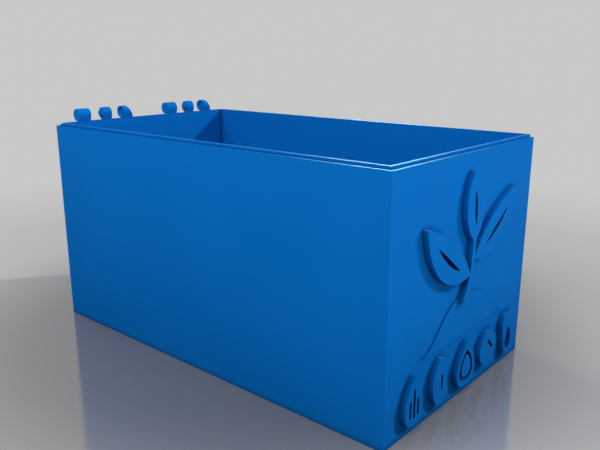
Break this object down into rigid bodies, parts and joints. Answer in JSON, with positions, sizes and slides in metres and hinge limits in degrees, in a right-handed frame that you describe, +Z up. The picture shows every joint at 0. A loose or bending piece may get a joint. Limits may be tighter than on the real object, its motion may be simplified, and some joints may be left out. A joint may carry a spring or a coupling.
{
  "type": "seed organizer box",
  "caption": "Open printed garden seed organizer box with a stepped rim for a lid, snap-cone hinge knuckles, a raised plant and seed ornament, and lift-out dividers.",
  "frame": {"origin": "centre of the base, on the surface that the box stands on", "axes": "+Z up; -Y towards the end wall with the raised ornament; +Y towards the hinge, along the box's length; X across its width"},
  "size_m": [0.09, 0.1649, 0.0865],
  "materials": {
    "box_plastic": "satin",
    "divider_plastic": "satin"
  },
  "bodies": {
    "box": {"tub": "box_plastic", "guide_ribs_left": "box_plastic", "guide_ribs_right": "box_plastic", "hinge_left_end_knuckle": "box_plastic", "hinge_left_middle_knuckle": "box_plastic", "hinge_left_inner_knuckle": "box_plastic", "hinge_right_end_knuckle": "box_plastic", "hinge_right_middle_knuckle": "box_plastic", "hinge_right_inner_knuckle": "box_plastic", "ornament_mound": "box_plastic", "ornament_stem": "box_plastic", "ornament_leaf_left": "box_plastic", "ornament_leaf_right": "box_plastic", "ornament_leaf_top": "box_plastic", "ornament_seed_sunflower": "box_plastic", "ornament_seed_bean": "box_plastic", "ornament_seed_pumpkin": "box_plastic", "ornament_seed_pea": "box_plastic", "ornament_seed_corn": "box_plastic"},
    "divider_front": {"divider_front": "divider_plastic"},
    "divider_middle": {"divider_middle": "divider_plastic"},
    "divider_rear": {"divider_rear": "divider_plastic"}
  },
  "joints": [
    {"name": "divider_front_lift", "type": "slide", "parent": "box", "child": "divider_front", "axis": [0, 0, 1], "range_m": [0, 0.09]},
    {"name": "divider_middle_lift", "type": "slide", "parent": "box", "child": "divider_middle", "axis": [0, 0, 1], "range_m": [0, 0.09]},
    {"name": "divider_rear_lift", "type": "slide", "parent": "box", "child": "divider_rear", "axis": [0, 0, 1], "range_m": [0, 0.09]}
  ]
}
